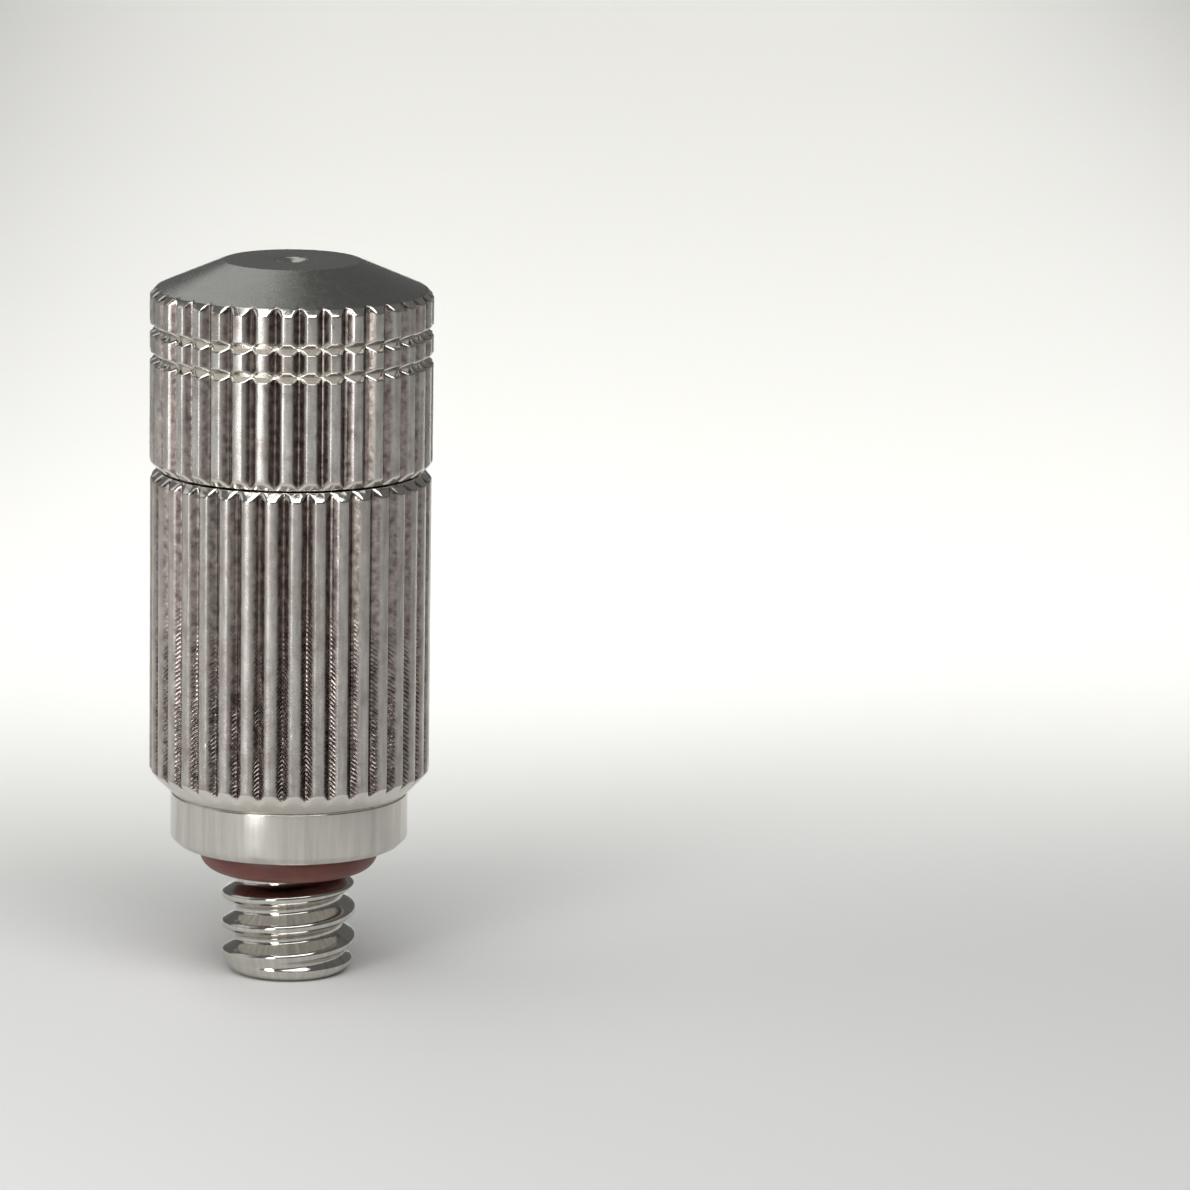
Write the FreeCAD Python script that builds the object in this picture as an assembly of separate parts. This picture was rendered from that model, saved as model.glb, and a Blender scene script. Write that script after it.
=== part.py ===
import FreeCAD, Part
import math
import os

# Anti-drip misting nozzle with a screw-on spray cap and a 10-24 inlet thread.
#
# Millimetres. The origin is the centre of the inlet stem's end face, and +Z
# runs along the nozzle's axis, with the flow, towards the spray orifice.
# Water enters the stem, passes the filter, lifts the check poppet off its seat,
# runs up the channels of the swirl core and leaves through the orifice.

Vector = FreeCAD.Vector
ORIGIN = Vector(0, 0, 0)
AXIS = Vector(0, 0, 1)
FULL_TURN = 360.0
SAME_HEIGHT = 1e-6

# --- heights of the outside, from the inlet end ---
COLLAR_BOTTOM_Z = 4.70
COLLAR_TOP_Z = 6.60
PARTING_Z = 18.08
CAP_RIM_Z = 24.50
NOZZLE_TOP_Z = 25.50

# --- straight knurl, rolled on the bar that barrel and cap are turned from ---
KNURL_R = 5.0
KNURL_TEETH = 36
KNURL_LAND = 0.32
KNURL_FLANK_DEG = 36.0
KNURL_VALLEY_R = 0.12
BARREL_TOOTH_DEG = -88.0
CAP_TOOTH_DEG = -92.0
BLANK_R = 6.0
BLANK_TOP_Z = 26.50

# --- cap outside ---
CAP_GAP = 0.06
PLATEAU_R = 2.42
CAP_RIM_R = 4.75
PARTING_CHAMFER = 0.31
GROOVE_CENTRES_Z = (23.11, 22.12)
GROOVE_DEPTH = 0.36
GROOVE_HALF_DEG = 30.0

# --- barrel and collar outside ---
BARREL_FOOT_R = 4.21
COLLAR_R = 4.19
COLLAR_TOP_BREAK = 0.07
COLLAR_LOWER_BREAK = 0.26

# --- inlet thread, 10-24 UNC ---
INLET_MAJOR_R = 2.413
INLET_ROOT_R = 1.86
INLET_PITCH = 25.4 / 24
INLET_CREST_WIDTH = 0.20
INLET_RIDGE_Z = 1.21
INLET_THREAD_TOP_Z = 3.70
INLET_END_R = 1.71
NECK_R = 1.87
RUNOUT_Z = 3.12

# --- cap thread, M7 x 0.75 ---
CAP_THREAD_R = 3.50
CAP_THREAD_DEPTH = 0.42
CAP_THREAD_PITCH = 0.75
CAP_THREAD_CREST_WIDTH = 0.09
CAP_THREAD_PLAY = 0.10
SPIGOT_RIDGE_Z = 18.975
SPIGOT_THREAD_BOTTOM_Z = 18.70
SPIGOT_THREAD_TOP_Z = 21.30
CAP_THREAD_TOP_Z = 20.80
THREAD_RELIEF_TOP_Z = 21.55

# --- how the 60 degree threads are cut ---
THREAD_HALF_DEG = 30.0
CUTTER_OVERRUN = 0.05
CUTTER_OVERRUN_TURNS = 3
ROD_OVERRUN_TURNS = 6

# --- spigot nose and the cap's bores ---
NOSE_R = 2.90
NOSE_TOP_Z = 22.90
NOSE_BREAK = 0.20
SEAL_BORE_R = 3.00
CAP_CEILING_Z = 23.10
INSERT_SEAT_Z = 24.60
NOSE_GROOVE_R = 2.30
NOSE_GROOVE_LOW_Z = 21.75
NOSE_GROOVE_HIGH_Z = 22.45

# --- barrel bores ---
SOCKET_R = 2.90
SOCKET_TOP_Z = 9.90
SEAT_BORE_R = 2.05
VALVE_BORE_R = 1.85

# --- inlet stem bores and spigot ---
INLET_BORE_R = 0.90
INLET_MOUTH_R = 1.15
FILTER_SEAT_Z = 8.00
STEM_SPIGOT_TOP_Z = 9.20
STEM_SPIGOT_BREAK = 0.25
O_RING_POCKET_R = 3.35
O_RING_POCKET_DEPTH = 0.34

# --- O-rings: section diameters, and where the stem's ring lies ---
INLET_RING_SECTION = 1.30
CAP_RING_SECTION = 0.62
STEM_RING_SECTION = 0.70
STEM_RING_CENTRE_R = 2.50

# --- filter cup ---
FILTER_R = 1.70
FILTER_WALL = 0.50
FILTER_TOP_Z = 13.20
FILTER_CORNER_R = 0.60

# --- check valve ---
SEAT_BOTTOM_Z = 14.00
SEAT_TOP_Z = 15.00
SEAT_HOLE_R = 0.60
SEAT_LIP_R = 0.90
SEAT_LIP_Z = 15.25
SEAT_ENTRY_R = 1.00
SEAL_R = 1.20
SEAL_THICKNESS = 0.60
SEAL_PROUD = 0.20
POPPET_R = 1.50
POPPET_SHOULDER_Z = 16.30
POPPET_STEM_R = 0.70
POPPET_TOP_Z = 17.80
STEM_TIP_BREAK = 0.20

# --- spring ---
SPRING_MEAN_R = 1.20
SPRING_WIRE = 0.30
SPRING_COILS = 7
SPRING_GROUND = 0.05

# --- swirl core ---
CORE_R = 1.60
CORE_STEM_R = 0.75
CORE_BOTTOM_Z = 19.40
CORE_SHOULDER_Z = 20.90
CORE_TOP_Z = 23.87
CORE_CHANNELS = 3
CHANNEL_WIDTH = 0.55
CHANNEL_DEPTH = 0.40
SLOT_WIDTH = 0.28
SLOT_DEPTH = 0.30
SLOT_OFFSET = 0.34
SWIRL_CHAMBER_R = 0.48

# --- orifice insert ---
INSERT_R = 1.70
INSERT_BOTTOM_Z = 23.90
NIPPLE_R = 0.60
DIMPLE_DEPTH = 0.14
ORIFICE_R = 0.10
ORIFICE_MOUTH_R = 0.16
ORIFICE_MOUTH_DEPTH = 0.12
ORIFICE_LENGTH = 0.35
SWIRL_CONE_R = 0.48


def tan_deg(angle):
    return math.tan(math.radians(angle))


def polar(radius, angle_deg, z=0.0):
    """A point at a radius and an angle counter-clockwise from +X."""
    angle = math.radians(angle_deg)
    return Vector(radius * math.cos(angle), radius * math.sin(angle), z)


def turned(outline):
    """The solid of revolution of a closed outline of (radius, height) points."""
    points = [Vector(r, 0, z) for r, z in outline]
    face = Part.Face(Part.makePolygon(points + points[:1]))
    return face.revolve(ORIGIN, AXIS, FULL_TURN)


def rod(radius, low_z, high_z):
    return Part.makeCylinder(radius, high_z - low_z, Vector(0, 0, low_z))


def ring(section, centre_r, centre_z):
    """An O-ring: its section's diameter and the circle that its middle lies on."""
    return Part.makeTorus(centre_r, section / 2, Vector(0, 0, centre_z))


def knurled_bar(first_tooth_deg, low_z, high_z):
    """A bar with straight teeth: flat lands, straight flanks and round valleys."""
    tooth_deg = FULL_TURN / KNURL_TEETH
    land_half = math.degrees(math.asin(KNURL_LAND / 2 / KNURL_R))
    gap_half = tooth_deg / 2 - land_half
    corner_r = KNURL_R * math.cos(math.radians(gap_half))
    corner_half = KNURL_R * math.sin(math.radians(gap_half))
    vertex_r = corner_r - corner_half / tan_deg(KNURL_FLANK_DEG)
    flank = math.radians(KNURL_FLANK_DEG)
    tangent_r = vertex_r + KNURL_VALLEY_R / math.tan(flank) * math.cos(flank)
    tangent_half = KNURL_VALLEY_R * math.cos(flank)
    bottom_r = vertex_r + KNURL_VALLEY_R / math.sin(flank) - KNURL_VALLEY_R

    edges = []
    for tooth in range(KNURL_TEETH):
        middle = first_tooth_deg + tooth * tooth_deg
        valley = middle + tooth_deg / 2
        out = polar(1, valley)
        across = polar(1, valley + 90)
        land_start = polar(KNURL_R, middle - land_half, low_z)
        land_middle = polar(KNURL_R, middle, low_z)
        land_end = polar(KNURL_R, middle + land_half, low_z)
        base = Vector(0, 0, low_z)
        valley_start = base + out * tangent_r - across * tangent_half
        valley_bottom = base + out * bottom_r
        valley_end = base + out * tangent_r + across * tangent_half
        next_land = polar(KNURL_R, valley + gap_half, low_z)
        edges.append(Part.Arc(land_start, land_middle, land_end).toShape())
        edges.append(Part.LineSegment(land_end, valley_start).toShape())
        edges.append(Part.Arc(valley_start, valley_bottom, valley_end).toShape())
        edges.append(Part.LineSegment(valley_end, next_land).toShape())
    section = Part.Face(Part.Wire(edges))
    return section.extrude(Vector(0, 0, high_z - low_z))


def helical_cutter(section, pitch, middle_z, low_z, high_z):
    """A section of (radius, height) points swept up a right-hand helix.

    Its middle crosses +X at middle_z, and it runs on past both heights.
    """
    turns_down = math.ceil((middle_z - low_z) / pitch) + CUTTER_OVERRUN_TURNS
    turns_up = math.ceil((high_z - middle_z) / pitch) + CUTTER_OVERRUN_TURNS
    mean_r = sum(r for r, _ in section) / len(section)
    helix = Part.makeHelix(pitch, pitch * (turns_down + turns_up), mean_r)
    points = [Vector(r, 0, z) for r, z in section]
    outline = Part.makePolygon(points + points[:1])
    cutter = Part.Wire(helix.Edges).makePipeShell([outline], True, True)
    cutter.translate(Vector(0, 0, middle_z - turns_down * pitch))
    return cutter


def long_rod(radius, pitch, low_z, high_z):
    """A rod that reaches past a helical cutter for the same heights."""
    overrun = pitch * ROD_OVERRUN_TURNS
    return rod(radius, low_z - overrun, high_z + overrun)


def threaded_rod(major_r, root_r, crest_width, pitch, ridge_z, low_z, high_z):
    """A long rod with a 60 degree thread, whose ridge crosses +X at ridge_z."""
    mouth_r = major_r + CUTTER_OVERRUN
    crest_gap_half = (pitch - crest_width) / 2
    root_half = crest_gap_half - (major_r - root_r) * tan_deg(THREAD_HALF_DEG)
    mouth_half = crest_gap_half + CUTTER_OVERRUN * tan_deg(THREAD_HALF_DEG)
    section = [
        (root_r, -root_half),
        (mouth_r, -mouth_half),
        (mouth_r, mouth_half),
        (root_r, root_half),
    ]
    groove_z = ridge_z - pitch / 2
    groove = helical_cutter(section, pitch, groove_z, low_z, high_z)
    return long_rod(major_r, pitch, low_z, high_z).cut(groove)


def threaded_tube(wall_r, major_r, minor_r, root_width, pitch, ridge_z, low_z, high_z):
    """A long tube tapped for a rod's thread, whose ridge crosses +X at ridge_z."""
    mouth_r = minor_r - CUTTER_OVERRUN
    root_half = root_width / 2
    mouth_half = root_half + (major_r - mouth_r) * tan_deg(THREAD_HALF_DEG)
    section = [
        (mouth_r, -mouth_half),
        (major_r, -root_half),
        (major_r, root_half),
        (mouth_r, mouth_half),
    ]
    groove = helical_cutter(section, pitch, ridge_z, low_z, high_z)
    bore = long_rod(minor_r, pitch, low_z, high_z)
    return long_rod(wall_r, pitch, low_z, high_z).cut(bore).cut(groove)


def barrel():
    """The knurled barrel, with the threaded spigot and nose that the cap covers."""
    body = turned([
        (SOCKET_R, COLLAR_TOP_Z),
        (BARREL_FOOT_R, COLLAR_TOP_Z),
        (KNURL_R, COLLAR_TOP_Z + KNURL_R - BARREL_FOOT_R),
        (KNURL_R, PARTING_Z - PARTING_CHAMFER),
        (KNURL_R - PARTING_CHAMFER, PARTING_Z),
        (NOSE_R, PARTING_Z),
        (NOSE_R, SPIGOT_THREAD_BOTTOM_Z),
        (VALVE_BORE_R, SPIGOT_THREAD_BOTTOM_Z),
        (VALVE_BORE_R, SEAT_TOP_Z),
        (SEAT_BORE_R, SEAT_TOP_Z),
        (SEAT_BORE_R, SOCKET_TOP_Z),
        (SOCKET_R, SOCKET_TOP_Z),
    ])
    body = body.common(knurled_bar(BARREL_TOOTH_DEG, 0, BLANK_TOP_Z))
    return body.fuse(spigot_thread()).fuse(nose()).removeSplitter()


def spigot_thread():
    """The spigot's thread, chamfered at both ends."""
    major_r = CAP_THREAD_R - CAP_THREAD_PLAY
    past_r = CAP_THREAD_R
    past = past_r - NOSE_R
    envelope = turned([
        (VALVE_BORE_R, SPIGOT_THREAD_BOTTOM_Z),
        (NOSE_R, SPIGOT_THREAD_BOTTOM_Z),
        (past_r, SPIGOT_THREAD_BOTTOM_Z + past),
        (past_r, SPIGOT_THREAD_TOP_Z - past),
        (NOSE_R, SPIGOT_THREAD_TOP_Z),
        (VALVE_BORE_R, SPIGOT_THREAD_TOP_Z),
    ])
    thread = threaded_rod(
        major_r,
        major_r - CAP_THREAD_DEPTH,
        CAP_THREAD_CREST_WIDTH,
        CAP_THREAD_PITCH,
        SPIGOT_RIDGE_Z,
        SPIGOT_THREAD_BOTTOM_Z,
        SPIGOT_THREAD_TOP_Z,
    )
    return thread.common(envelope)


def nose():
    """The plain end of the spigot, with the groove for the cap's O-ring."""
    return turned([
        (VALVE_BORE_R, SPIGOT_THREAD_TOP_Z),
        (NOSE_R, SPIGOT_THREAD_TOP_Z),
        (NOSE_R, NOSE_GROOVE_LOW_Z),
        (NOSE_GROOVE_R, NOSE_GROOVE_LOW_Z),
        (NOSE_GROOVE_R, NOSE_GROOVE_HIGH_Z),
        (NOSE_R, NOSE_GROOVE_HIGH_Z),
        (NOSE_R, NOSE_TOP_Z - NOSE_BREAK),
        (NOSE_R - NOSE_BREAK, NOSE_TOP_Z),
        (VALVE_BORE_R, NOSE_TOP_Z),
    ])


def cap_skirt():
    """The cap's lower end, tapped for the spigot."""
    bottom_z = PARTING_Z + CAP_GAP
    entry_r = CAP_THREAD_R + CUTTER_OVERRUN
    past_r = NOSE_R
    envelope = turned([
        (entry_r, bottom_z),
        (KNURL_R - PARTING_CHAMFER, bottom_z),
        (KNURL_R, bottom_z + PARTING_CHAMFER),
        (KNURL_R, CAP_THREAD_TOP_Z),
        (past_r, CAP_THREAD_TOP_Z),
        (past_r, bottom_z + entry_r - past_r),
    ])
    envelope = envelope.common(knurled_bar(CAP_TOOTH_DEG, 0, BLANK_TOP_Z))
    thread = threaded_tube(
        BLANK_R,
        CAP_THREAD_R,
        CAP_THREAD_R - CAP_THREAD_DEPTH,
        CAP_THREAD_CREST_WIDTH,
        CAP_THREAD_PITCH,
        SPIGOT_RIDGE_Z,
        bottom_z,
        CAP_THREAD_TOP_Z,
    )
    return thread.common(envelope)


def cap_crown():
    """The cap's upper end: conical face, two grooves, seal bore and insert bore."""
    relief_r = CAP_THREAD_R + CUTTER_OVERRUN
    outline = [
        (NIPPLE_R, NOZZLE_TOP_Z),
        (PLATEAU_R, NOZZLE_TOP_Z),
        (CAP_RIM_R, CAP_RIM_Z),
        (KNURL_R, CAP_RIM_Z - (KNURL_R - CAP_RIM_R)),
    ]
    groove_half = GROOVE_DEPTH * tan_deg(GROOVE_HALF_DEG)
    for centre_z in GROOVE_CENTRES_Z:
        outline.append((KNURL_R, centre_z + groove_half))
        outline.append((KNURL_R - GROOVE_DEPTH, centre_z))
        outline.append((KNURL_R, centre_z - groove_half))
    outline += [
        (KNURL_R, CAP_THREAD_TOP_Z),
        (relief_r, CAP_THREAD_TOP_Z),
        (relief_r, THREAD_RELIEF_TOP_Z),
        (SEAL_BORE_R, THREAD_RELIEF_TOP_Z),
        (SEAL_BORE_R, CAP_CEILING_Z),
        (INSERT_R, CAP_CEILING_Z),
        (INSERT_R, INSERT_SEAT_Z),
        (NIPPLE_R, INSERT_SEAT_Z),
    ]
    bar = knurled_bar(CAP_TOOTH_DEG, 0, BLANK_TOP_Z)
    return turned(outline).common(bar)


def spray_cap():
    """The knurled cap, in one piece, that screws on the barrel's spigot."""
    return cap_crown().fuse(cap_skirt()).removeSplitter()


def inlet_thread():
    """The 10-24 thread, chamfered at the inlet end and at the neck."""
    past_r = INLET_MAJOR_R + CUTTER_OVERRUN
    envelope = turned([
        (INLET_MOUTH_R, 0),
        (INLET_END_R, 0),
        (past_r, past_r - INLET_END_R),
        (past_r, RUNOUT_Z),
        (NECK_R, INLET_THREAD_TOP_Z),
        (INLET_BORE_R, INLET_THREAD_TOP_Z),
        (INLET_BORE_R, INLET_MOUTH_R - INLET_BORE_R),
    ])
    thread = threaded_rod(
        INLET_MAJOR_R,
        INLET_ROOT_R,
        INLET_CREST_WIDTH,
        INLET_PITCH,
        INLET_RIDGE_Z,
        0,
        INLET_THREAD_TOP_Z,
    )
    return thread.common(envelope)


def inlet_stem():
    """The collar and the 10-24 inlet thread, with the spigot pressed in the barrel."""
    upper = turned([
        (NECK_R, INLET_THREAD_TOP_Z),
        (NECK_R, COLLAR_BOTTOM_Z + O_RING_POCKET_DEPTH),
        (O_RING_POCKET_R, COLLAR_BOTTOM_Z + O_RING_POCKET_DEPTH),
        (O_RING_POCKET_R, COLLAR_BOTTOM_Z),
        (COLLAR_R - COLLAR_LOWER_BREAK, COLLAR_BOTTOM_Z),
        (COLLAR_R, COLLAR_BOTTOM_Z + COLLAR_LOWER_BREAK),
        (COLLAR_R, COLLAR_TOP_Z - COLLAR_TOP_BREAK),
        (COLLAR_R - COLLAR_TOP_BREAK, COLLAR_TOP_Z),
        (SOCKET_R, COLLAR_TOP_Z),
        (SOCKET_R, STEM_SPIGOT_TOP_Z - STEM_SPIGOT_BREAK),
        (SOCKET_R - STEM_SPIGOT_BREAK, STEM_SPIGOT_TOP_Z),
        (FILTER_R, STEM_SPIGOT_TOP_Z),
        (FILTER_R, FILTER_SEAT_Z),
        (INLET_BORE_R, FILTER_SEAT_Z),
        (INLET_BORE_R, INLET_THREAD_TOP_Z),
    ])
    return upper.fuse(inlet_thread()).removeSplitter()


def inlet_o_ring():
    """The ring that seals the stem in a fitting, under the collar."""
    top_z = COLLAR_BOTTOM_Z + O_RING_POCKET_DEPTH
    centre_r = NECK_R + INLET_RING_SECTION / 2
    return ring(INLET_RING_SECTION, centre_r, top_z - INLET_RING_SECTION / 2)


def stem_o_ring():
    """The ring on the stem's spigot face, inside the barrel."""
    centre_z = (STEM_SPIGOT_TOP_Z + SOCKET_TOP_Z) / 2
    return ring(STEM_RING_SECTION, STEM_RING_CENTRE_R, centre_z)


def cap_o_ring():
    """The ring in the nose groove, which seals in the cap's bore."""
    centre_z = (NOSE_GROOVE_LOW_Z + NOSE_GROOVE_HIGH_Z) / 2
    centre_r = NOSE_GROOVE_R + CAP_RING_SECTION / 2
    return ring(CAP_RING_SECTION, centre_r, centre_z)


def filter_cup():
    """A sintered cup with a closed top, its open end pressed in the stem."""
    inner_r = FILTER_R - FILTER_WALL
    inner_corner = FILTER_CORNER_R / 2
    outside = rod(FILTER_R, FILTER_SEAT_Z, FILTER_TOP_Z)
    outside = outside.makeFillet(FILTER_CORNER_R, edges_at(outside, FILTER_TOP_Z))
    hollow_top_z = FILTER_TOP_Z - FILTER_WALL
    hollow = rod(inner_r, FILTER_SEAT_Z, hollow_top_z)
    hollow = hollow.makeFillet(inner_corner, edges_at(hollow, hollow_top_z))
    return outside.cut(hollow)


def edges_at(shape, z):
    """The edges that lie whole in the plane at this height."""
    found = []
    for edge in shape.Edges:
        box = edge.BoundBox
        if abs(box.ZMin - z) < SAME_HEIGHT and abs(box.ZMax - z) < SAME_HEIGHT:
            found.append(edge)
    return found


def valve_seat():
    """The bushing that the check poppet closes on, with its raised lip."""
    outline = [
        (SEAT_ENTRY_R, SEAT_BOTTOM_Z),
        (SEAT_BORE_R, SEAT_BOTTOM_Z),
        (SEAT_BORE_R, SEAT_TOP_Z),
        (SEAT_LIP_R, SEAT_TOP_Z),
        (SEAT_LIP_R, SEAT_LIP_Z),
        (SEAT_HOLE_R, SEAT_LIP_Z),
        (SEAT_HOLE_R, SEAT_BOTTOM_Z + SEAT_ENTRY_R - SEAT_HOLE_R),
    ]
    return turned(outline)


def poppet_seal():
    """The rubber disc in the poppet's face."""
    return rod(SEAL_R, SEAT_LIP_Z, SEAT_LIP_Z + SEAL_THICKNESS)


def check_poppet():
    """The poppet that holds the seal, with a stem that guides the spring."""
    face_z = SEAT_LIP_Z + SEAL_PROUD
    pocket_z = SEAT_LIP_Z + SEAL_THICKNESS
    outline = [
        (SEAL_R, face_z),
        (POPPET_R, face_z),
        (POPPET_R, POPPET_SHOULDER_Z),
        (POPPET_STEM_R, POPPET_SHOULDER_Z),
        (POPPET_STEM_R, POPPET_TOP_Z - STEM_TIP_BREAK),
        (POPPET_STEM_R - STEM_TIP_BREAK, POPPET_TOP_Z),
        (0, POPPET_TOP_Z),
        (0, pocket_z),
        (SEAL_R, pocket_z),
    ]
    return turned(outline)


def valve_spring():
    """The spring between poppet and core, its end coils ground flat."""
    length = CORE_SHOULDER_Z - POPPET_SHOULDER_Z
    pitch = (length + 2 * SPRING_GROUND) / SPRING_COILS
    helix = Part.makeHelix(pitch, pitch * SPRING_COILS, SPRING_MEAN_R)
    start = Vector(SPRING_MEAN_R, 0, 0)
    section = Part.Wire(Part.makeCircle(SPRING_WIRE / 2, start, Vector(0, 1, 0)))
    coil = Part.Wire(helix.Edges).makePipeShell([section], True, True)
    coil.translate(Vector(0, 0, POPPET_SHOULDER_Z - SPRING_GROUND))
    sleeve_r = SPRING_MEAN_R + SPRING_WIRE
    return coil.common(rod(sleeve_r, POPPET_SHOULDER_Z, CORE_SHOULDER_Z))


def swirl_core():
    """The core that spins the water: side channels, tangent slots and a chamber."""
    shape = rod(CORE_R, CORE_SHOULDER_Z, CORE_TOP_Z)
    tip = turned([
        (0, CORE_BOTTOM_Z),
        (CORE_STEM_R - STEM_TIP_BREAK, CORE_BOTTOM_Z),
        (CORE_STEM_R, CORE_BOTTOM_Z + STEM_TIP_BREAK),
        (CORE_STEM_R, CORE_SHOULDER_Z),
        (0, CORE_SHOULDER_Z),
    ])
    shape = shape.fuse(tip)
    slot_floor = CORE_TOP_Z - SLOT_DEPTH
    shape = shape.cut(rod(SWIRL_CHAMBER_R, slot_floor, CORE_TOP_Z))
    for number in range(CORE_CHANNELS):
        channel = Part.makeBox(
            2 * CHANNEL_DEPTH,
            CHANNEL_WIDTH,
            CORE_TOP_Z - CORE_SHOULDER_Z,
            Vector(CORE_R - CHANNEL_DEPTH, SLOT_OFFSET - CHANNEL_WIDTH / 2, CORE_SHOULDER_Z),
        )
        slot = Part.makeBox(
            CORE_R,
            SLOT_WIDTH,
            SLOT_DEPTH,
            Vector(0, SLOT_OFFSET - SLOT_WIDTH / 2, slot_floor),
        )
        cutter = channel.fuse(slot)
        cutter.rotate(ORIGIN, AXIS, number * FULL_TURN / CORE_CHANNELS)
        shape = shape.cut(cutter)
    return shape.removeSplitter()


def orifice_insert():
    """The insert with the spray orifice, pressed in the cap from the inside."""
    dimple_z = NOZZLE_TOP_Z - DIMPLE_DEPTH
    mouth_z = dimple_z - ORIFICE_MOUTH_DEPTH
    outline = [
        (SWIRL_CONE_R, INSERT_BOTTOM_Z),
        (INSERT_R, INSERT_BOTTOM_Z),
        (INSERT_R, INSERT_SEAT_Z),
        (NIPPLE_R, INSERT_SEAT_Z),
        (NIPPLE_R, NOZZLE_TOP_Z),
        (ORIFICE_MOUTH_R, dimple_z),
        (ORIFICE_R, mouth_z),
        (ORIFICE_R, mouth_z - ORIFICE_LENGTH),
    ]
    return turned(outline)


NODES = {
    "barrel": barrel,
    "inlet_stem": inlet_stem,
    "inlet_o_ring": inlet_o_ring,
    "stem_o_ring": stem_o_ring,
    "filter_cup": filter_cup,
    "valve_seat": valve_seat,
    "poppet_seal": poppet_seal,
    "check_poppet": check_poppet,
    "valve_spring": valve_spring,
    "swirl_core": swirl_core,
    "orifice_insert": orifice_insert,
    "cap_o_ring": cap_o_ring,
    "spray_cap": spray_cap,
}

os.makedirs("parts", exist_ok=True)
for name, make in NODES.items():
    shape = make()
    shape.exportStep("parts/" + name + ".step")
    print(name, len(shape.Solids), shape.isValid(), round(shape.Volume, 3))
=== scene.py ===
import math

import bpy
import numpy as np
from mathutils import Matrix, Vector


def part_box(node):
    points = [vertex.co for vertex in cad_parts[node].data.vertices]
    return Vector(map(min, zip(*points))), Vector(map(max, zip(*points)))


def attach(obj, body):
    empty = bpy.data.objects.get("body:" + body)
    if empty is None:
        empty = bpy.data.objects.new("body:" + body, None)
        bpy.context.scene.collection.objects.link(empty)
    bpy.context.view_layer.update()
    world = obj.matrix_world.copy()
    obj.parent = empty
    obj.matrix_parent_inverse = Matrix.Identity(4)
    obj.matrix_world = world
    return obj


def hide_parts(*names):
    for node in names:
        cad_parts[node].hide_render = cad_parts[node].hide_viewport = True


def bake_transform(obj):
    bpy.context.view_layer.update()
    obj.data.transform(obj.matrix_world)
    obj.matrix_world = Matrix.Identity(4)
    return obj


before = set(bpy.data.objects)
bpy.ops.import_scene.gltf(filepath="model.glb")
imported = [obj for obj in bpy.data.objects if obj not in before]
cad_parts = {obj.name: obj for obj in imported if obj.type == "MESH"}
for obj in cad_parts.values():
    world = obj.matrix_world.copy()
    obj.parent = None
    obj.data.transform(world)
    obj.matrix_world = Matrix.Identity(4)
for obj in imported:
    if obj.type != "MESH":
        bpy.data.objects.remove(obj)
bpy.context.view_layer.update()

# A knurled misting nozzle. The outside is rebuilt around the CAD model with
# rounded edges, a worn knurl and polished threads. Lengths are in millimetres
# until a mesh is made, and angles run counter-clockwise from +X.

MM = 0.001
FULL_TURN = 2 * math.pi


def box_mm(node):
    """A node's lowest and highest corners, in millimetres."""
    low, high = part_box(node)
    return low / MM, high / MM


# --- sizes read from the frame ---
BARREL_LOW, BARREL_HIGH = box_mm("barrel")
CAP_LOW, CAP_HIGH = box_mm("spray_cap")
STEM_HIGH = box_mm("inlet_stem")[1]
RING_LOW, RING_HIGH = box_mm("inlet_o_ring")
INSERT_LOW = box_mm("orifice_insert")[0]
SPRING_LOW, SPRING_HIGH = box_mm("valve_spring")
KNURL_R = 5.0
FOOT_Z = BARREL_LOW.z
NOSE_TOP_Z = BARREL_HIGH.z
CAP_RIM_LOW_Z = CAP_LOW.z
NOZZLE_TOP_Z = CAP_HIGH.z
COLLAR_R = STEM_HIGH.x

# --- meshes ---
SHARP_ANGLE = math.radians(38)
KNURL_STEP = 0.088
SPIGOT_STEP = 0.035
INLET_STEP = 0.024

# --- straight knurl ---
TEETH = 36
LAND_HALF = 0.16
FLANK_TAN = math.tan(math.radians(36))
VALLEY_SOFTNESS = 0.061
# The angle of each knurl's first tooth. The cap's teeth stand a little round from
# the barrel's, and are crisper.
BARREL_TOOTH = math.radians(-88)
CAP_TOOTH = math.radians(-92)
LAND_SOFTNESS = {BARREL_TOOTH: 0.10, CAP_TOOTH: 0.055}
# Where a tooth's columns stand, from the middle of its valley. The first is in the
# middle of a land. The plain parts keep one column in every COARSE.
TOOTH_SAMPLES = (
    -0.4363, -0.365, -0.305, -0.275, -0.25, -0.175, -0.09, -0.045,
    0, 0.045, 0.09, 0.175, 0.25, 0.275, 0.305, 0.365,
)
COARSE = 4

# --- wear on the knurl ---
BARREL_SEED, CAP_SEED = 11, 23
NICKS_PER_TOOTH = 5
NICK_DEPTH = 0.024
NICK_WIDTH = 0.06
NICK_LENGTH = 0.09
NICK_SIZES = (0.4, 1.3)
NICK_OFFSET, NICK_OFFSET_SPREAD = 0.285, 0.03
TOOTH_SPREAD = 0.008
WAVINESS = 0.0025
WAVES_PER_MM = (1.3, 3.1, 5.7)

# Threads and V grooves are all cut at 60 degrees.
CUT_HALF_TAN = math.tan(math.radians(30))
THREAD_SOFTNESS = 0.02

# --- finish ---
TURNED_ANISOTROPY = 0.7
TURNED_ROTATION = 0.25
ROLL_MARK_PITCH = 0.16
ROLL_MARK_DEPTH = 0.018
ROLL_MARK_SLANT = 0.9
ROLL_MARKS_FADE_Z = (8.5, 14.0)

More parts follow.
